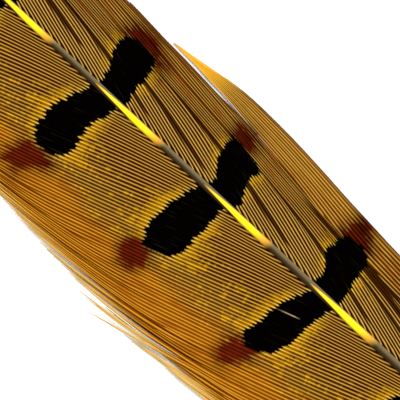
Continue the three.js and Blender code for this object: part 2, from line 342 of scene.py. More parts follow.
class Shader:
    """Short calls for the nodes of one material."""

    def __init__(self, name, roughness, specular):
        self.material = bpy.data.materials.new(name)
        self.material.use_nodes = True
        self.tree = self.material.node_tree
        self.bsdf = self.tree.nodes["Principled BSDF"]
        self.bsdf.inputs["Roughness"].default_value = roughness
        self.bsdf.inputs["Specular IOR Level"].default_value = specular

    def put(self, socket, value):
        if isinstance(value, bpy.types.NodeSocket):
            self.tree.links.new(value, socket)
        else:
            socket.default_value = value

    def attribute(self, name):
        node = self.tree.nodes.new("ShaderNodeAttribute")
        node.attribute_name = name
        return node.outputs["Fac"]

    def math(self, operation, a, b=0.0, c=0.0):
        node = self.tree.nodes.new("ShaderNodeMath")
        node.operation = operation
        for socket, value in zip(node.inputs, (a, b, c)):
            self.put(socket, value)
        return node.outputs[0]

    def add(self, a, b):
        return self.math("ADD", a, b)

    def times(self, a, b):
        return self.math("MULTIPLY", a, b)

    def less(self, a, b):
        return self.math("SUBTRACT", a, b)

    def around(self, value, amount):
        """A noise from 0 to 1 as a swing about zero of the given size."""
        return self.math("MULTIPLY_ADD", value, amount, -0.5 * amount)

    def clamp(self, value):
        return self.math("MINIMUM", self.math("MAXIMUM", value, 0.0), 1.0)

    def step(self, value, low, high):
        """0 below low, 1 above high, smooth between; low may be the greater."""
        node = self.tree.nodes.new("ShaderNodeMapRange")
        node.interpolation_type = "SMOOTHSTEP"
        start, end = (0.0, 1.0) if low < high else (1.0, 0.0)
        self.put(node.inputs["Value"], value)
        self.put(node.inputs["From Min"], min(low, high))
        self.put(node.inputs["From Max"], max(low, high))
        self.put(node.inputs["To Min"], start)
        self.put(node.inputs["To Max"], end)
        return node.outputs[0]

    def mix(self, share, a, b):
        node = self.tree.nodes.new("ShaderNodeMix")
        node.data_type = "RGBA"
        self.put(node.inputs[0], share)
        self.put(node.inputs[6], a)
        self.put(node.inputs[7], b)
        return node.outputs[2]

    def scaled(self, colour, factor):
        node = self.tree.nodes.new("ShaderNodeVectorMath")
        node.operation = "SCALE"
        self.put(node.inputs[0], colour)
        self.put(node.inputs["Scale"], factor)
        return node.outputs[0]

    def vector(self, x, y, z):
        node = self.tree.nodes.new("ShaderNodeCombineXYZ")
        for socket, value in zip(node.inputs, (x, y, z)):
            self.put(socket, value)
        return node.outputs[0]

    def noise(self, vector, detail=2.0):
        node = self.tree.nodes.new("ShaderNodeTexNoise")
        self.put(node.inputs["Vector"], vector)
        self.put(node.inputs["Scale"], 1.0)
        self.put(node.inputs["Detail"], detail)
        return node.outputs["Fac"]

    def finish(self, colour, height=None, strength=0.3, distance=0.0001):
        self.put(self.bsdf.inputs["Base Color"], colour)
        if height is not None:
            bump = self.tree.nodes.new("ShaderNodeBump")
            bump.inputs["Strength"].default_value = strength
            bump.inputs["Distance"].default_value = distance
            self.put(bump.inputs["Height"], height)
            self.put(self.bsdf.inputs["Normal"], bump.outputs[0])
        return self.material


# The barbs' mean lie to the shaft, in degrees, along which the mottling is laid out.
BARB_LIE = 17


def barb_material():
    """Barbs of the closed vane: a pale rib on a darker web, with bars, spots, haloes and mottling."""
    sh = Shader("vane barbs", roughness=0.75, specular=0.0)
    across = sh.math("ABSOLUTE", sh.attribute("across"))
    along = sh.attribute("along")
    s = sh.attribute("s")
    out = sh.attribute("out")
    share = sh.attribute("share")
    own = sh.attribute("own")
    narrow = sh.attribute("narrow")
    amber = sh.attribute("amber")
    spot = sh.attribute("spot")
    beside = sh.attribute("beside")

    # Noise laid out along the barbs' mean lie, so that blotches run over a few neighbouring barbs.
    lie = math.radians(BARB_LIE)
    down_lie = sh.add(sh.times(s, math.cos(lie)), sh.times(out, math.sin(lie)))
    over_lie = sh.less(sh.times(out, math.cos(lie)), sh.times(s, math.sin(lie)))

    def lie_noise(down, over, layer, detail):
        return sh.noise(sh.vector(sh.times(down_lie, down), sh.times(over_lie, over), layer), detail)

    blotch = lie_noise(0.4, 0.9, sh.times(narrow, 30.0), 2.5)
    fleck = lie_noise(1.35, 3.0, sh.times(narrow, 30.0), 1.5)
    russet = lie_noise(0.14, 0.75, sh.add(sh.times(narrow, 20.0), 70.0), 2.0)
    cloud = sh.noise(sh.vector(sh.times(s, 0.11), sh.times(out, 0.2), sh.times(narrow, 50.0)), 2.0)
    streak = sh.noise(sh.vector(sh.times(along, 0.32), sh.times(own, 90.0), 0.0), 1.5)
    grain = sh.noise(sh.vector(sh.times(along, 3.6), sh.times(own, 150.0), across), 2.0)

    outward = sh.times(narrow, sh.step(out, 4.5, 7.5))
    loose = sh.attribute("loose")
    rib = sh.step(sh.times(across, sh.add(1.0, sh.times(outward, 0.35))), 0.41, 0.13)

    def weaker_on_narrow(value, amount):
        return sh.times(value, sh.less(1.0, sh.times(narrow, amount)))

    # How golden the web is: a halo beside the bars, flecks in mid vane, and orange gold further out.
    halo_edge = sh.add(sh.add(beside, sh.around(streak, 2.6)), sh.around(fleck, 3.0))
    halo = sh.times(sh.step(halo_edge, 2.1, 0.8), sh.step(out, 1.0, 5.0))
    halo = weaker_on_narrow(halo, 0.15)
    mottled = weaker_on_narrow(sh.step(share, 0.12, 0.4), 0.75)
    near_bar = sh.times(sh.step(beside, 7.0, 1.0), 0.08)
    patch = sh.add(sh.add(sh.times(blotch, 0.55), sh.times(fleck, 0.45)), near_bar)
    flecks = sh.times(mottled, sh.step(sh.add(patch, sh.times(share, 0.06)), 0.57, 0.66))
    flecks = sh.times(flecks, sh.step(share, 0.75, 0.6))
    mid_vane = sh.times(sh.step(share, 0.25, 0.6), sh.less(0.3, sh.times(narrow, 0.25)))
    mid_gold = sh.add(mid_vane, sh.times(flecks, 0.65))
    outer_gold = sh.step(sh.add(share, sh.around(cloud, 0.25)), 0.56, 0.72)
    outer_gold = weaker_on_narrow(outer_gold, 0.8)
    gold = sh.clamp(sh.math("MAXIMUM", sh.math("MAXIMUM", halo, mid_gold), outer_gold))
    orange = weaker_on_narrow(sh.step(sh.add(share, sh.around(cloud, 0.2)), 0.5, 0.72), 0.7)
    fringe = weaker_on_narrow(sh.step(share, 0.85, 1.02), 0.8)
    veil = weaker_on_narrow(sh.step(share, 0.92, 1.03), 0.8)

    web_gold = sh.mix(orange, rgb(0.54, 0.35, 0.0), rgb(0.5, 0.26, 0.0))
    web = sh.mix(gold, rgb(0.225, 0.035, 0.0), web_gold)
    web = sh.mix(sh.times(loose, 0.65), web, rgb(0.52, 0.29, 0.01))
    web = sh.mix(sh.times(veil, 0.75), web, rgb(0.69, 0.52, 0.2))
    web = sh.mix(sh.times(sh.step(share, 0.93, 1.03), sh.less(1.0, narrow)), web, rgb(0.85, 0.74, 0.48))
    ribs = sh.mix(orange, rgb(0.68, 0.53, 0.19), rgb(0.77, 0.53, 0.13))
    ribs = sh.mix(sh.times(narrow, 0.6), ribs, rgb(0.74, 0.61, 0.29))
    ribs = sh.mix(sh.times(sh.math("MAXIMUM", halo, flecks), 0.8), ribs, rgb(0.83, 0.65, 0.09))
    ribs = sh.mix(sh.times(fringe, 0.75), ribs, rgb(0.87, 0.63, 0.18))
    bar_rib = sh.attribute("bar_rib")
    ribs = sh.mix(sh.times(sh.step(bar_rib, 1.5, 0.5), 0.5), ribs, rgb(0.87, 0.74, 0.34))
    colour = sh.mix(rib, web, ribs)
    red_zone = sh.times(sh.step(share, 0.42, 0.62), sh.step(share, 1.0, 0.9))
    reddish = sh.times(sh.step(russet, 0.5, 0.68), red_zone)
    colour = sh.mix(sh.times(reddish, sh.less(0.42, sh.times(halo, 0.42))), colour, rgb(0.47, 0.2, 0.02))

    light = sh.add(0.95, sh.add(sh.around(own, 0.14), sh.add(sh.around(streak, 0.3), sh.around(grain, 0.2))))
    light = weaker_on_narrow(light, 0.06)
    outer_narrow = sh.times(narrow, sh.step(out, 3.0, 5.5))
    outer_shade = sh.times(outer_narrow, sh.less(0.07, sh.times(loose, 0.1)))
    light = sh.times(light, sh.less(1.0, outer_shade))
    colour = sh.scaled(colour, light)
    colour = sh.mix(sh.times(sh.attribute("rim"), 0.75), colour, rgb(0.34, 0.17, 0.03))
    # Painted sheen: a pale line along the loose lock's innermost barb.
    colour = sh.mix(sh.times(sh.attribute("sheen_seam"), 0.6), colour, rgb(0.84, 0.72, 0.58))
    colour = sh.mix(sh.times(amber, 0.88), colour, rgb(0.91, 0.66, 0.16))
    # Painted shadow in the slits where a lock rides over the next, a little weaker on the ribs.
    slit_shadow = sh.times(sh.attribute("slit_shadow"), sh.less(0.97, sh.times(rib, 0.05)))
    colour = sh.mix(slit_shadow, colour, rgb(0.14, 0.03, 0.0))

    # Rufous spots at the bars' outer ends. Their edges run out along the barbs, further in the web than in
    # the rib, with a darker margin round them.
    colour = sh.scaled(colour, sh.less(1.0, sh.times(sh.step(spot, 2.2, 0.0), 0.35)))
    rufous = sh.mix(rib, rgb(0.27, 0.04, 0.01), rgb(0.37, 0.1, 0.025))
    rufous = sh.scaled(rufous, sh.less(sh.add(0.95, sh.around(blotch, 1.1)), sh.times(narrow, 0.4)))
    spot_noise = sh.add(sh.around(streak, 2.4), sh.around(fleck, 1.2))
    spot_edge = sh.add(sh.add(spot, sh.times(rib, 0.3)), spot_noise)
    colour = sh.mix(sh.times(sh.step(spot_edge, 0.95, -0.55), 0.97), colour, rufous)

    # Bars: the black begins later on a rib than on its web, so that the bars' edges are toothed.
    to_web = sh.math("MINIMUM", sh.times(across, 1.3), 1.0)
    edge = sh.add(sh.times(sh.attribute("bar"), to_web), sh.times(bar_rib, sh.less(1.0, to_web)))
    edge = sh.add(edge, sh.around(grain, 0.55))
    # Faint pale lines on some ribs in the black are painted sheen.
    rib_sheen = sh.times(rib, sh.step(streak, 0.5, 0.8))
    black = sh.mix(rib_sheen, rgb(0.008, 0.004, 0.003), rgb(0.08, 0.065, 0.035))
    swell = sh.add(0.3, sh.times(narrow, 0.25))
    colour = sh.mix(sh.step(sh.less(edge, swell), 0.17, -0.15), colour, black)
    worn = sh.step(sh.add(across, sh.around(grain, 0.25)), 0.4, 0.08)
    colour = sh.mix(sh.times(sh.attribute("bare"), worn), colour, rgb(0.66, 0.55, 0.42))

    # Barbules: fine slanting lines that leave the rib for the barb's tip.
    barbules = sh.math("SINE", sh.times(sh.less(along, sh.times(across, 0.2)), 62.0))
    return sh.finish(colour, height=barbules, strength=0.12, distance=0.00003)


def shaft_material():
    """Horn of the shaft: yellow with grey-brown bars, and pale horn at the quill."""
    sh = Shader("shaft horn", roughness=0.45, specular=0.12)
    s = sh.attribute("s")
    aside = sh.attribute("aside")
    grain = sh.noise(sh.vector(s, sh.times(aside, 6.0), 0.0), 3.0)

    # Across the shaft the grey is pale on the narrow vane's side, and dark brown towards the broad vane.
    grey = sh.mix(sh.step(aside, -0.35, 0.3), rgb(0.36, 0.31, 0.18), rgb(0.22, 0.15, 0.03))
    grey = sh.mix(sh.step(aside, 0.2, 0.6), grey, rgb(0.17, 0.1, 0.01))
    grey = sh.mix(sh.step(aside, -0.5, -0.75), grey, rgb(0.43, 0.38, 0.27))
    grey = sh.scaled(grey, sh.add(1.0, sh.around(grain, 0.3)))
    # The yellow darkens towards the broad vane's side as painted shade on the shaft's lower flank, and is
    # duller at the narrow vane's edge.
    yellow = sh.mix(sh.step(aside, 0.5, 1.0), rgb(0.94, 0.88, 0.03), rgb(0.84, 0.68, 0.02))
    yellow = sh.mix(sh.step(aside, -0.5, -0.9), yellow, rgb(0.66, 0.53, 0.14))
    yellow = sh.mix(sh.times(sh.step(grain, 0.55, 0.8), 0.2), yellow, rgb(0.9, 0.76, 0.2))

    # Each yellow stretch starts in a point just tipward of its bar, widens to the shaft's sides as it runs
    # quillward, and fades through peach. The phase is 0 at the point and 1 at the next one quillward.
    phase = sh.math("FRACT", sh.times(sh.attribute("bars"), -1.0))
    side_lag = sh.times(sh.step(sh.math("ABSOLUTE", sh.add(aside, 0.1)), 0.05, 0.95), 0.3)
    began = sh.less(phase, side_lag)
    ends = sh.add(0.59, sh.times(aside, -0.012))
    left = sh.less(ends, phase)
    is_yellow = sh.times(sh.step(began, -0.02, 0.05), sh.step(left, -0.03, 0.05))
    peach_start = sh.step(began, 0.14, 0.0)
    peach_end = sh.step(left, 0.17, 0.02)
    peach = sh.math("MAXIMUM", peach_start, peach_end)
    yellow = sh.mix(sh.times(peach, 0.9), yellow, rgb(0.78, 0.53, 0.16))
    colour = sh.mix(is_yellow, grey, yellow)

    horn = sh.mix(sh.step(grain, 0.35, 0.7), rgb(0.87, 0.81, 0.62), rgb(0.76, 0.68, 0.47))
    horn = sh.mix(sh.step(s, 9.0, 1.0), horn, rgb(0.62, 0.52, 0.34))
    colour = sh.mix(sh.step(s, 88.0, 42.0), colour, horn)
    return sh.finish(colour, height=grain, strength=0.2, distance=0.00005)


def down_material():
    """Down: soft grey-buff, paler at the ends."""
    sh = Shader("down", roughness=0.9, specular=0.02)
    colour = sh.mix(sh.attribute("share"), rgb(0.62, 0.56, 0.48), rgb(0.82, 0.77, 0.68))
    colour = sh.scaled(colour, sh.add(0.98, sh.around(sh.attribute("own"), 0.25)))
    return sh.finish(colour)


# ---------------------------------------------------------------- the vanes

BARB_PITCH = 1.594
BARB_PITCH_AT_TIP = 1.15
BARB_STATIONS = 62

# Roots of the first and last barbs, and where along the shaft they come to stand closer.
VANE_FIRST_ROOT = 55
VANE_LAST_ROOT = 444
PITCH_NARROWS = (280, 430)

# Half width of a web: as a share of the way to the barbs beside it, and its limits in millimetres. In the
# broad vane's edge zone the least is wider and the most narrower, and at the base the most is wider.
WEB_OVER_SPACING = 0.64
LEAST_WEB = 0.12
MOST_WEB = 0.42
STRAY_WEB = 0.2
EDGE_LEAST_MORE = 0.04
EDGE_MOST_LESS = 0.08
EDGE_ZONE = (0.84, 0.95)
BASE_MOST_MORE = 0.3
BASE_ENDS = (72, 98)

# The first barbs at the base stand open, with webs of this share of their width.
OPEN_WEB = 0.4
OPEN_BARBS = (55, 67)

# Barbs and strays narrow to a point over this many millimetres, to this share of their width. A stray's
# wider web ends between these distances from its tip, and the widest webs narrow over the last one.
POINT_LENGTH = 3.0
POINT_WIDTH = 0.35
STRAY_POINT_LENGTH = 7.0
STRAY_POINT_WIDTH = 0.2
STRAY_WEB_FADES = (7, 15)
WIDE_WEB_LENGTH = 14.0

# How far the painted shadow in slits reaches under the upper web, how long a wisp is, and how far it may
# leave the edge as a multiple of its vane's flare.
HIDDEN_BY_WEB = 0.16
WISP_LENGTH = 20.0
FLARE_REACH = 1.3

# A web's tilt, and the part of the shaft's half width that roots reach into. Barbs leave the shaft this
# share of its width above its underside, and fall in a curve of this power to their lowest height. A lock
# is lifted by chance, its outer barbs drop under the lock before, and no corner goes below the margin.
WEB_TILT = 0.22
ROOT_IN_SHAFT = 0.4
ATTACH_HEIGHT = 0.58
CAMBER = 1.8
LOWEST_EDGE = 0.2
LOCK_LIFT = {"broad": 0.3, "narrow": 0.15}
BUNCH_DROP = 0.14
FLOOR_MARGIN = 0.02

# Where along a barb it leaves the shaft's inside, clings to its lock, wanders, winds and thins, by how much
# it thins, and each barb's own departures: at its end as a share of the cling, its winding, and the
# pattern's shift.
LEAVES_SHAFT = (0, 0.03)
CLING_ZONE = (0.78, 1.0)
WANDER_ZONE = (0.8, 1.0)
WINDING_ZONE = (0.1, 0.6)
THINNING_ZONE = (0.3, 1.0)
THINNING = 0.7
END_WANDER = 0.15
WINDING = 0.03
PATTERN_SHIFT = 0.2

# A barb's section, as (share of the web's half width, millimetres up): web, rib and keel.
BARB_SECTION = [(-1.0, 0.0), (-0.4, 0.015), (0.0, 0.085), (0.4, 0.015), (1.0, 0.0), (0.0, -0.13)]

# A short pale stretch of one bare rib in a bar's black: where it starts and ends, how far out it lies, and
# over what length it fades in and out.
BARE_RIB = (162.4, 166.2, 5.45)
BARE_RIB_FADES = (0.8, 2.2)

# Barbs that stray outside the broad vane's edge: where the tip ends, how far out, and where it leaves the
# vane. A neighbour clings to each side of one, this much further in, and they rise as they leave.
STRAYS = [(187.3, 26.1, 167.0), (178.2, 24.6, 161.0), (189.5, 24.4, 173.0), (192.2, 23.5, 178.0),
          (172.4, 24.1, 159.0), (148.0, 24.6, 130.0), (238.0, 22.0, 224.0), (120.0, 23.6, 104.0),
          (279.0, 19.8, 262.0)]
STRAY_NEIGHBOUR = 0.12
STRAY_RISE = 0.25

# The lock that stands off the narrow vane's edge, as the photo shows it: the stretch that holds its roots,
# where its two sides begin to be drawn and over what length, how its barbs crowd to the outer side, and its
# tip with the scatter of its barbs' ends.
LOOSE_LOCK = (82.5, 117.5)
LOOSE_LOCK_DRAWN = 164
LOOSE_LOCK_BLEND = 16
LOOSE_LOCK_CROWDING = 2.4
LOOSE_LOCK_TIP = 204.6
LOOSE_LOCK_TIP_SCATTER = 8.0

# It has fainter painted shadow in its slits, lies low, and is pressed down at its end. It turns loose and
# then amber.
LOOSE_LOCK_SLIT_SHADOW = 0.3
LOOSE_LOCK_LIFT = 0.1
PRESSED = 0.75
PRESSING = (178, 190)
LOOSENING = (150, 166)
AMBER = (191.5, 198.5)

# The pale line along its inner side, painted sheen on its innermost barb, and the dark rim of the narrow
# vane's edge, which its end lacks.
SHEEN_SEAM_BEGINS = (181, 188)
SHEEN_SEAM_ENDS = (194, 199)
SEAM_WEB = 0.13
RIM_DEPTH = (0.1, 0.45)
RIM_ENDS = (190, 195)
RIM_PAST_LOCK = 0.1
loose_lock_outside = curve((150, 12.0), (158, 12.2), (167.6, 12.85), (175.6, 13.6), (183.5, 14.15),
                           (189.6, 14.3), (193.2, 14.1), (196, 13.7), (199.9, 13.1), (203, 12.72),
                           (206, 12.5))
loose_lock_inside = curve((155, 6.9), (163, 7.7), (166.7, 8.2), (169.7, 8.75), (174.6, 9.65), (180.5, 10.5),
                          (188.3, 11.3), (192.2, 11.78), (196, 12.15), (201.2, 12.42), (204.3, 12.47),
                          (206, 12.5))


def barb_roots():
    roots = [VANE_FIRST_ROOT]
    while roots[-1] < VANE_LAST_ROOT:
        near_tip = smoothstep(*PITCH_NARROWS, roots[-1])
        roots.append(roots[-1] + BARB_PITCH + (BARB_PITCH_AT_TIP - BARB_PITCH) * near_tip)
    return np.array(roots)


def lock_layout(vane, roots, draws):
    """For each barb its lock, the lock's count of barbs, and its place, from 0 at the last barb to near 1."""
    drawn = [int(np.argmin(np.abs(roots - end))) for end in vane.drawn_lock_ends]
    lasts = [-1]
    while lasts[-1] < len(roots) - 1:
        ahead = [last for last in drawn if last > lasts[-1]]
        among_drawn = 0 < len(ahead) < len(drawn)
        by_chance = lasts[-1] + int(draws.integers(*vane.lock_sizes))
        lasts.append(ahead[0] if among_drawn else min([by_chance, len(roots) - 1] + ahead[:1]))
    lasts = np.array(lasts[1:])
    lock = np.searchsorted(lasts, np.arange(len(roots)))
    size = np.diff(np.concatenate([[-1], lasts]))[lock]
    return lock, size, (lasts[lock] - np.arange(len(roots))) / size


def natural_path(vane, roots, share):
    """Barbs as they would lie with none bunched: s and out, with the vane's width where each barb's tip
    falls.
    """
    sweep = vane.sweep(roots)[:, None]
    tip_out = vane.width(roots[:, None] + sweep)
    side = shaft_width(roots)[:, None] * 0.5
    s = roots[:, None] + sweep * vane.course(share)
    start = side * (1 - ROOT_IN_SHAFT * (1 - smoothstep(*LEAVES_SHAFT, share)))
    out = start + (tip_out - side) * share
    return s, out, tip_out


def bend_loose_lock(roots, share, s, out, place, draws):
    """Bend the loose lock out over the narrow vane's edge; its barbs run on to meet in one long point."""
    held = np.flatnonzero((roots > LOOSE_LOCK[0]) & (roots < LOOSE_LOCK[1]))
    first_s, last_s = s[held[0]].copy(), s[held[-1]].copy()
    first_out, last_out = out[held[0]].copy(), out[held[-1]].copy()
    for i in held:
        tip_s = LOOSE_LOCK_TIP - LOOSE_LOCK_TIP_SCATTER * place[i, 0] * draws.random()
        longer_s = roots[i] + (tip_s - roots[i]) * NARROW.course(share[0])
        natural = np.interp(longer_s, s[i], out[i])
        inner = np.interp(longer_s, last_s, last_out)
        first = np.interp(longer_s, first_s, first_out)
        outer = np.where(longer_s < first_s[-1], first, NARROW.width(longer_s))
        drawn = smoothstep(LOOSE_LOCK_DRAWN - LOOSE_LOCK_BLEND, LOOSE_LOCK_DRAWN, longer_s)
        inside = inner + (loose_lock_inside(longer_s) - inner) * drawn
        outside = outer + (loose_lock_outside(longer_s) - outer) * drawn
        spread = inside + np.maximum(outside - inside, 0) * min(LOOSE_LOCK_CROWDING * place[i, 0], 1)
        s[i] = longer_s
        out[i] = natural + (spread - natural) * smoothstep(NARROW.bunch_start, NARROW.bunch_full, natural)
    return held


def gather_locks(vane, roots, share, s, out, lock, draws):
    """At their tips a lock's barbs cling to its middle barb, and some locks leave the edge as wisps."""
    hearts = []
    for number in range(lock.max() + 1):
        members = np.flatnonzero(lock == number)
        heart = members[len(members) // 2]
        line = np.interp(s[members], s[heart], out[heart])
        out[members] += (line - out[members]) * vane.cling(roots[heart]) * smoothstep(*CLING_ZONE, share)
        hearts.append(heart)
    leaves = vane.flare(roots[hearts]) * FLARE_REACH * draws.random(len(hearts)) ** 1.5
    leave = np.interp(roots, roots[hearts], leaves)[:, None]
    tips = s[:, -1:]
    out += leave * smoothstep(tips - WISP_LENGTH, tips, s) ** 1.5


def bend_strays(s, out, z, tips):
    """Bend single barbs out over the edge, each with a neighbour on either side that clings to it."""
    bent = []
    for tip_s, tip_out, leave in STRAYS:
        middle = int(np.argmin(np.abs(tips - tip_s)))
        for i in (middle - 1, middle, middle + 1):
            reach = (tip_out - STRAY_NEIGHBOUR * abs(i - middle)) - out[i, -1]
            away = np.clip((s[i] - leave) / (tip_s - leave), 0, 1.2) ** 1.3
            out[i] += reach * away
            z[i] += STRAY_RISE * away
            bent.append(i)
    return bent


def web_widths(roots, share, s, out, edge_more):
    """Half width of each barb's web along it, to reach past the middle of the gap beside it within limits."""
    slope = np.gradient(out, axis=1) / np.gradient(s, axis=1)
    lie = np.arctan(slope)
    gap = np.gradient(roots)[:, None] * np.sin(lie)
    for i in range(len(roots)):
        beside = []
        if i > 0:
            beside.append(np.interp(s[i], s[i - 1], out[i - 1], right=np.nan) - out[i])
        if i + 1 < len(roots):
            beside.append(out[i] - np.interp(s[i], s[i + 1], out[i + 1], left=np.nan))
        across = np.array(beside) * np.cos(lie[i])
        known = ~np.isnan(across).all(axis=0)
        gap[i, known] = np.nanmax(across[:, known], axis=0)
    edge = edge_more * smoothstep(*EDGE_ZONE, share)
    to_tip = s[:, -1:] - s
    least = LEAST_WEB + EDGE_LEAST_MORE * edge
    spread = BASE_MOST_MORE * (1 - smoothstep(*BASE_ENDS, roots))[:, None]
    most = (MOST_WEB + spread - EDGE_MOST_LESS * edge) * smoothstep(0, WIDE_WEB_LENGTH, to_tip)
    width = np.clip(WEB_OVER_SPACING * gap, least, np.maximum(most, least))
    return width * (POINT_WIDTH + (1 - POINT_WIDTH) * smoothstep(0, POINT_LENGTH, to_tip))


def painted_slit_shadow(vane, roots, points, s, out, lock, draws):
    """Painted shadow where a lock rides over the next one: dark wedges inside its last barb, from 0 to 1."""
    dark = np.zeros(points.shape[:3])
    for number in range(lock.max()):
        upper = np.flatnonzero(lock == number)[-1]
        below = np.flatnonzero(lock == number + 1)
        begin = draws.uniform(*vane.slit_shadow_begin)
        reach = draws.uniform(*vane.slit_shadow_reach)
        depth = draws.uniform(*vane.slit_shadow_depth)
        if vane is NARROW and LOOSE_LOCK[0] < roots[upper] < LOOSE_LOCK[1]:
            depth *= LOOSE_LOCK_SLIT_SHADOW
        limit = np.interp(points[below, ..., 0], s[upper], out[upper])
        spindle = depth * np.sin(np.pi * np.clip((limit - begin) / reach, 0, 1) ** 0.8)
        gap = limit - points[below, ..., 1] - HIDDEN_BY_WEB
        dark[below] = (1 - smoothstep(spindle * 0.75, spindle + 0.04, gap)) * smoothstep(0.02, 0.12, spindle)
    return dark


def bunch_locks(vane, roots, s, out, tip_out, lock, size, place, draws):
    """Towards the edge a lock's inner barbs spread, and its outer ones slide under the lock before."""
    slope = np.gradient(out, axis=1) / np.gradient(s, axis=1)
    bunch = draws.uniform(*vane.bunch, lock.max() + 1)[lock][:, None]
    grown = smoothstep(vane.bunch_start, vane.bunch_full, out / np.maximum(tip_out, 1) * vane.normal_width)
    band = size[:, None] * np.gradient(roots)[:, None] * slope
    return out + band * (np.minimum(bunch * place, 1) - place) * grown, grown


def wander(vane, roots, share, out, own, draws):
    """Each barb leaves its line a little at its end, and winds a little all along."""
    ends = draws.normal(0, vane.cling(roots) * END_WANDER, len(roots))[:, None]
    out = out + ends * smoothstep(*WANDER_ZONE, share)
    winding = draws.normal(0, WINDING, (len(roots), 1)) * smoothstep(*WINDING_ZONE, share)
    return out + winding * np.sin(share * 9 + 6 * own[:, None])


def barb_heights(vane, roots, share, s, lock, place, grown, held, draws):
    """Heights along each barb, from the shaft down to its lock's bed. The loose lock's barbs lie low."""
    lift = np.abs(draws.normal(0, LOCK_LIFT[vane.name], lock.max() + 1))[lock][:, None]
    attach = shaft_underside(roots)[:, None] + ATTACH_HEIGHT * shaft_width(roots)[:, None]
    bed = LOWEST_EDGE + lift * share ** 3
    drop = BUNCH_DROP * grown * np.minimum(place * 2, 1)
    z = bed + np.maximum(attach - bed, 0) * (1 - share ** CAMBER) - drop
    z[held] += (LOOSE_LOCK_LIFT - lift[held] * share ** 3) * smoothstep(0.5, 1.0, share)
    z[held] -= (z[held] - LOWEST_EDGE) * PRESSED * smoothstep(*PRESSING, s[held])
    return z


def thin_strays(s, half, bent):
    """Strays keep a narrow web that ends in a long point, and lose the rest of it towards their tips."""
    to_tip = s[bent, -1:] - s[bent]
    point = STRAY_POINT_WIDTH + (1 - STRAY_POINT_WIDTH) * smoothstep(0, STRAY_POINT_LENGTH, to_tip)
    rest = np.maximum(half[bent] - STRAY_WEB, 0) * smoothstep(*STRAY_WEB_FADES, to_tip)
    half[bent] = STRAY_WEB * point + rest


def loose_lock_marks(s, half, held):
    """Where the loose lock's barbs turn loose and amber, and the pale line of painted sheen on its innermost
    barb, along which the web is narrow.
    """
    loose, amber, sheen_seam = (np.zeros(s.shape) for _ in range(3))
    loose[held] = smoothstep(*LOOSENING, s[held])
    amber[held] = smoothstep(*AMBER, s[held])
    inmost = held[-1]
    # Its innermost barb carries the line of painted sheen, and its web narrows there.
    sheen_seam[inmost] = smoothstep(*SHEEN_SEAM_BEGINS, s[inmost]) * (1 - smoothstep(*SHEEN_SEAM_ENDS, s[inmost]))
    half[inmost] += (SEAM_WEB - half[inmost]) * sheen_seam[inmost]
    return loose, amber, sheen_seam


def worn_rib(s, out):
    """The pale stretch of bare rib, on the barb that lies nearest to its place."""
    start, end, at_out = BARE_RIB
    middle = (start + end) / 2
    outs = np.array([np.interp(middle, barb_s, barb_out) for barb_s, barb_out in zip(s, out)])
    worn = int(np.argmin(np.abs(outs - at_out)))
    bare = np.zeros(s.shape)
    fade_in, fade_out = BARE_RIB_FADES
    bare[worn] = smoothstep(start, start + fade_in, s[worn]) * smoothstep(end, end - fade_out, s[worn])
    return bare


def barb_sections(s, out, z, half, share, toward_tip):
    """Corners of each barb's section at every station, and each corner's place across the barb."""
    thick = 1 - THINNING * smoothstep(*THINNING_ZONE, share) ** 1.5
    points, across_all = [], []
    for across, up in BARB_SECTION:
        shift = across * half
        height = np.maximum(z + up * thick + WEB_TILT * shift, FLOOR_MARGIN)
        corner = [s + toward_tip[0] * shift, out + toward_tip[1] * shift, height]
        points.append(np.stack(corner, axis=-1))
        across_all.append(np.full(s.shape, across))
    return np.stack(points, axis=2), np.stack(across_all, axis=2)


def dark_rim(points, held):
    """The thin dark rim of the narrow vane's edge, from 0 to 1, which the loose lock's end lacks."""
    edge_out = NARROW.width(points[..., 0])
    edge_out[held] = loose_lock_outside(points[held, ..., 0]) + RIM_PAST_LOCK
    rim = 1 - smoothstep(*RIM_DEPTH, edge_out - points[..., 1])
    is_held = np.isin(np.arange(len(points)), held)[:, None, None]
    return rim * (1 - smoothstep(*RIM_ENDS, points[..., 0]) * is_held)


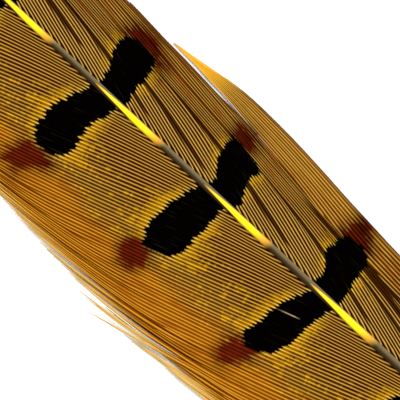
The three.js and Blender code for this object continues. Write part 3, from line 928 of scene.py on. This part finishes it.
def make_vane(vane, material):
    """All barbs of one side as one mesh. The order of the random draws fixes how they lie."""
    draws = np.random.default_rng(vane.seed)
    roots = barb_roots()
    share = np.linspace(0, 1, BARB_STATIONS)[None, :] ** 0.92
    lock, size, place = lock_layout(vane, roots, draws)
    place = place[:, None]
    own = draws.random(len(roots))
    s, out, tip_out = natural_path(vane, roots, share)
    bunched, grown = bunch_locks(vane, roots, s, out, tip_out, lock, size, place, draws)
    held = []
    if vane is NARROW:
        held = bend_loose_lock(roots, share, s, out, place, draws)
        bunched[held] = out[held]
    out = bunched
    gather_locks(vane, roots, share, s, out, lock, draws)
    out = wander(vane, roots, share, out, own, draws)
    z = barb_heights(vane, roots, share, s, lock, place, grown, held, draws)

    half = web_widths(roots, share, s, out, 1.0 if vane is BROAD else 0.0)
    half = half * (OPEN_WEB + (1 - OPEN_WEB) * smoothstep(*OPEN_BARBS, roots))[:, None]
    loose = amber = sheen_seam = bare = 0.0
    if vane is BROAD:
        thin_strays(s, half, bend_strays(s, out, z, roots + vane.sweep(roots)))
        bare = worn_rib(s, out)
    else:
        loose, amber, sheen_seam = loose_lock_marks(s, half, held)

    ds, dout, dz = (np.gradient(v, axis=1) for v in (s, out, z))
    along = np.cumsum(np.sqrt(ds ** 2 + dout ** 2 + dz ** 2), axis=1)
    flat = np.hypot(ds, dout)
    points, across_all = barb_sections(s, out, z, half, share, np.stack([dout / flat, -ds / flat]))
    count, stations, corners = points.shape[:3]

    # The pattern is carried by barbs, each with a small shift of its own along its length.
    shift = draws.normal(0, PATTERN_SHIFT, (count, 1))
    ahead_s, ahead_out = ds / flat, dout / flat
    at_s, at_out = s - shift * ahead_s, out - shift * ahead_out
    bar, bar_rib, spot, beside = pattern(vane, at_s, at_out, ahead_s, ahead_out)
    values = {
        "across": across_all,
        "rim": dark_rim(points, held) if vane is NARROW else np.zeros(points.shape[:3]),
        "slit_shadow": painted_slit_shadow(vane, roots, points, s, out, lock, draws),
    }
    for key, value in {
        "along": along, "s": s, "out": out, "share": out / np.maximum(vane.width(s), 0.5),
        "own": own[:, None], "bar": bar, "bar_rib": bar_rib, "spot": spot, "beside": beside,
        "narrow": float(vane is NARROW), "amber": amber, "bare": bare, "loose": loose, "sheen_seam": sheen_seam,
    }.items():
        values[key] = np.broadcast_to(np.asarray(value)[..., None], across_all.shape)
    world = to_world(points[..., 0], vane.side * points[..., 1], points[..., 2]).reshape(-1, 3)
    walls, ends = tube_faces(count, stations, corners, flip=vane.side > 0)
    return make_mesh(f"{vane.name}_vane", world, walls, ends, values, material)


# ---------------------------------------------------------------- the shaft

SHAFT_STATIONS = 300
SHAFT_CORNERS = 24

# From a bar's middle to the point of its yellow stretch, and to that stretch's end, in bar spacings tipward.
YELLOW_POINT = 0.13
YELLOW_END = -0.47
YELLOW_SHARE = 0.58

# The quill's rounded end, the section's squareness, and the groove beneath: its depth in half widths of the
# shaft, its width in radians, and where it grows.
QUILL_END_LENGTH = 2.2
QUILL_END_WIDTH = 0.55
SQUARENESS = 0.88
GROOVE_DEPTH = 0.3
GROOVE_WIDTH = 0.32
GROOVE_GROWS = (45, 90)


def make_shaft(material):
    """Quill and shaft in one: a nearly round section all along, with a groove beneath past the quill."""
    u = np.linspace(0, 1, SHAFT_STATIONS)
    s = FEATHER_LENGTH * u ** 1.1
    width = shaft_width(s)
    end_round = np.sqrt(np.clip(1 - (1 - np.clip(s / QUILL_END_LENGTH, 0, 1)) ** 2, 0.02, 1))
    rounded = QUILL_END_WIDTH + (1 - QUILL_END_WIDTH) * end_round
    width = width * np.where(s < QUILL_END_LENGTH, rounded, 1)
    bottom = shaft_underside(s)
    angle = np.arange(SHAFT_CORNERS) * 2 * np.pi / SHAFT_CORNERS
    out = np.cos(angle)
    up = np.sin(angle)
    aside = np.sign(out) * np.abs(out) ** SQUARENESS
    lifted = np.sign(up) * np.abs(up) ** SQUARENESS
    groove = GROOVE_DEPTH * np.exp(-((angle - 1.5 * np.pi) / GROOVE_WIDTH) ** 2)
    grooved = smoothstep(*GROOVE_GROWS, s)[:, None]
    half = width[:, None] / 2
    height = half * (1 + lifted[None, :] + grooved * groove[None, :])
    world = to_world(s[:, None] + 0 * half * out, aside[None, :] * half, bottom[:, None] + height)
    places = np.array(BAR_PLACES)
    gaps = np.gradient(places)
    marks = np.stack([places + YELLOW_END * gaps, places + YELLOW_POINT * gaps], axis=1).ravel()
    numbers = np.stack([np.arange(len(places)) - YELLOW_SHARE, np.arange(len(places))], axis=1).ravel()
    bars = np.interp(s, marks, numbers)
    walls, ends = tube_faces(1, SHAFT_STATIONS, SHAFT_CORNERS, flip=False)
    ones = np.ones(SHAFT_CORNERS)
    values = {"s": s[:, None] * ones, "aside": aside[None, :] + 0 * half, "bars": bars[:, None] * ones}
    return make_mesh("shaft", world.reshape(-1, 3), walls, ends, values, material)


# ---------------------------------------------------------------- the down at the base

DOWN_SEED = 55
DOWN_STRANDS_A_SIDE = 46
DOWN_STATIONS = 12
BARBULES_A_STRAND = 90

# The stretch of the shaft that bears down, in millimetres. By place on it, how far a strand reaches, and
# its angle to the shaft in degrees. Then how a strand's place, reach, angle, bend and wave vary by chance.
DOWN_SPAN = 40
DOWN_REACH = ([22, 30, 45, 64], [8, 14, 19, 21])
DOWN_ANGLE = ([22, 40, 64], [66, 52, 38])
NARROW_SIDE_REACH = 0.8
STRAND_SHIFT = 0.3
STRAND_REACH_VARIES = (0.8, 1.1)
STRAND_ANGLE_VARIES = 7
STRAND_BEND = (-16, 12)
STRAND_WAVE = 0.5

# Strands start at this height, arch by a random rise and sink to their ends. They are four-sided, of this
# radius at the start.
DOWN_HEIGHT = 1.5
DOWN_RISE = (0.2, 3.2)
DOWN_SINK = 1.1
DOWN_LOWEST = 0.35
STRAND_RADIUS = 0.075
STRAND_CORNERS = 4

# Barbules: lengths, how far they lean to the strand's tip, their droop, and radii at start, middle and end.
BARBULE_LENGTH = (1.2, 3.0)
BARBULE_LEAN = (0.3, 1.1)
BARBULE_DROOP = (0, 0.5)
BARBULE_RADII = (0.028, 0.02, 0.006)
BARBULE_SHARES = [0.4, 0.7, 1.0]
BARBULE_LOWEST = 0.06


def make_down(material):
    """Loose downy barbs with fine barbules all round them."""
    draws = np.random.default_rng(DOWN_SEED)
    count = 2 * DOWN_STRANDS_A_SIDE
    side = np.where(np.arange(count) % 2 == 0, 1.0, -1.0)
    root = DOWN_START - 1.5 + DOWN_SPAN * (np.arange(count) / count) + draws.normal(0, STRAND_SHIFT, count)
    reach = np.interp(root, *DOWN_REACH) * np.where(side > 0, 1.0, NARROW_SIDE_REACH)
    reach = reach * draws.uniform(*STRAND_REACH_VARIES, count)
    angle = np.radians(np.interp(root, *DOWN_ANGLE) + draws.normal(0, STRAND_ANGLE_VARIES, count))
    bend = np.radians(draws.normal(*STRAND_BEND, count))
    share = np.linspace(0, 1, DOWN_STATIONS)[None, :]
    heading = angle[:, None] + bend[:, None] * share
    step = reach[:, None] / (DOWN_STATIONS - 1)
    s = root[:, None] + np.cumsum(np.cos(heading) * step, axis=1) - np.cos(heading[:, :1]) * step
    out = np.cumsum(np.sin(heading) * step, axis=1)
    rise = draws.uniform(*DOWN_RISE, count)[:, None]
    z = DOWN_HEIGHT + rise * np.sin(np.pi * np.minimum(share * 1.1, 1)) - DOWN_SINK * share ** 2
    wave = draws.normal(0, STRAND_WAVE, (count, 1)) * np.sin(share * 5)
    out = out + wave * share
    radius = STRAND_RADIUS * (1 - 0.75 * share) + 0 * s
    path = np.stack([s, side[:, None] * out, np.maximum(z, DOWN_LOWEST)], axis=-1)

    corners = STRAND_CORNERS
    ring = np.arange(corners) * 2 * np.pi / corners
    tangent = np.gradient(path, axis=1)
    tangent /= np.linalg.norm(tangent, axis=2, keepdims=True)
    level = np.cross(tangent, [0, 0, 1.0])
    level /= np.linalg.norm(level, axis=2, keepdims=True)
    over = np.cross(level, tangent)
    ring_level = np.cos(ring)[None, None, :, None] * level[:, :, None, :]
    ring_over = np.sin(ring)[None, None, :, None] * over[:, :, None, :]
    points = path[:, :, None, :] + radius[..., None, None] * (ring_level + ring_over)
    strand_walls, strand_ends = tube_faces(count, DOWN_STATIONS, corners, flip=False)
    strand_points = points.reshape(-1, 3)
    strand_own = np.repeat(draws.random(count), DOWN_STATIONS * corners)
    strand_share = np.repeat(np.tile(share[0], count), corners)

    # Barbules: three-sided spikes in two steps, swept towards the strand's tip.
    total = count * BARBULES_A_STRAND
    which = np.repeat(np.arange(count), BARBULES_A_STRAND)
    at = draws.random(total) ** 0.9 * (DOWN_STATIONS - 1.01)
    low = at.astype(int)
    part = (at - low)[:, None]
    start = path[which, low] * (1 - part) + path[which, low + 1] * part
    lead = tangent[which, low]
    roll = draws.uniform(0, 2 * np.pi, total)[:, None]
    away = np.cos(roll) * level[which, low] + np.sin(roll) * over[which, low] * 0.8
    aim = away + lead * draws.uniform(*BARBULE_LEAN, total)[:, None]
    aim /= np.linalg.norm(aim, axis=1, keepdims=True)
    size = draws.uniform(*BARBULE_LENGTH, total)[:, None]
    droop = np.array([0, 0, -1.0]) * draws.uniform(*BARBULE_DROOP, total)[:, None]
    middle = start + aim * size * 0.5
    end = start + (aim + droop * 0.5 + lead * 0.3) * size
    side_way = np.cross(aim, lead)
    side_way /= np.linalg.norm(side_way, axis=1, keepdims=True)
    third_way = np.cross(aim, side_way)
    turn = np.arange(3) * 2 * np.pi / 3
    rings = []
    offset = np.cos(turn)[None, :, None] * side_way[:, None, :]
    offset = offset + np.sin(turn)[None, :, None] * third_way[:, None, :]
    for centre, thick in zip((start, middle, end), BARBULE_RADII):
        rings.append(centre[:, None, :] + thick * offset)
    spikes = np.stack(rings, axis=1)
    spikes[..., 2] = np.maximum(spikes[..., 2], BARBULE_LOWEST)
    spike_walls, spike_ends = tube_faces(total, 3, 3, flip=False)
    shift = len(strand_points)
    all_points = np.concatenate([strand_points, spikes.reshape(-1, 3)])
    own = np.concatenate([strand_own, np.repeat(draws.random(total), 9)])
    shares = np.concatenate([strand_share, np.tile(np.repeat(BARBULE_SHARES, 3), total)])
    walls = np.concatenate([strand_walls, spike_walls + shift])
    ends = np.concatenate([strand_ends, spike_ends + shift])
    world = to_world(all_points[:, 0], all_points[:, 1], all_points[:, 2])
    return make_mesh("base_down", world, walls, ends, {"own": own, "share": shares}, material)


# ---------------------------------------------------------------- put the feather together

vane_finish = barb_material()
made = [
    (make_shaft(shaft_material()), "shaft"),
    (make_vane(BROAD, vane_finish), "vane"),
    (make_vane(NARROW, vane_finish), "vane"),
    (make_down(down_material()), "down"),
]
for piece, slot in made:
    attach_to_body(piece, "root")
    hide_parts("feather")

# ---------------------------------------------------------------- floor, light and camera

HALF_FLOOR = 6.0

floor_mesh = bpy.data.meshes.new("floor")
floor_corners = [(x * HALF_FLOOR, y * HALF_FLOOR, 0) for x, y in ((-1, -1), (1, -1), (1, 1), (-1, 1))]
floor_mesh.from_pydata(floor_corners, [], [(0, 1, 2, 3)])
floor = bpy.data.objects.new("floor", floor_mesh)
bpy.context.collection.objects.link(floor)
floor_shader = Shader("pale floor", roughness=0.9, specular=0.0)
floor_mesh.materials.append(floor_shader.finish(rgb(0.97, 0.97, 0.97)))

# The view's middle and width in millimetres, and its turn, read off the photo. The shaft falls to the lower
# right at this angle below level.
VIEW_CENTRE_S = 185.5
VIEW_CENTRE_OUT = 2.07
VIEW_WIDTH = 59.6
SHAFT_FALL = math.radians(43.05)
VANE_HEIGHT = 3.5
LENS = 200
SENSOR = 36

camera_data = bpy.data.cameras.new("camera")
camera_data.lens = LENS
camera_data.sensor_width = SENSOR
camera_data.clip_start = 0.01
camera_data.clip_end = 50
camera = bpy.data.objects.new("camera", camera_data)
bpy.context.collection.objects.link(camera)
centre = to_world(np.array(VIEW_CENTRE_S), np.array(VIEW_CENTRE_OUT), np.array(VANE_HEIGHT))
camera.location = Vector(centre) + Vector((0, 0, VIEW_WIDTH * MM * LENS / SENSOR))
camera.rotation_euler = (0, 0, math.pi + SHAFT_FALL)
bpy.context.scene.camera = camera


STAGE_MIDDLE = (0, 0, 0)
SKY_STRENGTH = 0.75


def area_light(name, size, power, place):
    """A round lamp that looks at the stage's middle and isn't seen itself."""
    data = bpy.data.lights.new(name, "AREA")
    data.shape = "DISK"
    data.size = size
    data.energy = power
    lamp = bpy.data.objects.new(name, data)
    bpy.context.collection.objects.link(lamp)
    lamp.location = place
    lamp.rotation_euler = (Vector(STAGE_MIDDLE) - Vector(place)).to_track_quat("-Z", "Y").to_euler()
    lamp.visible_camera = False


area_light("key", size=0.9, power=26, place=(-0.1, -1.1, 1.3))
area_light("fill", size=1.6, power=10, place=(0.3, 1.2, 1.5))
world = bpy.data.worlds.new("studio")
world.use_nodes = True
world.node_tree.nodes["Background"].inputs["Color"].default_value = (1, 1, 1, 1)
world.node_tree.nodes["Background"].inputs["Strength"].default_value = SKY_STRENGTH
bpy.context.scene.world = world
bpy.context.scene.view_settings.view_transform = "Standard"
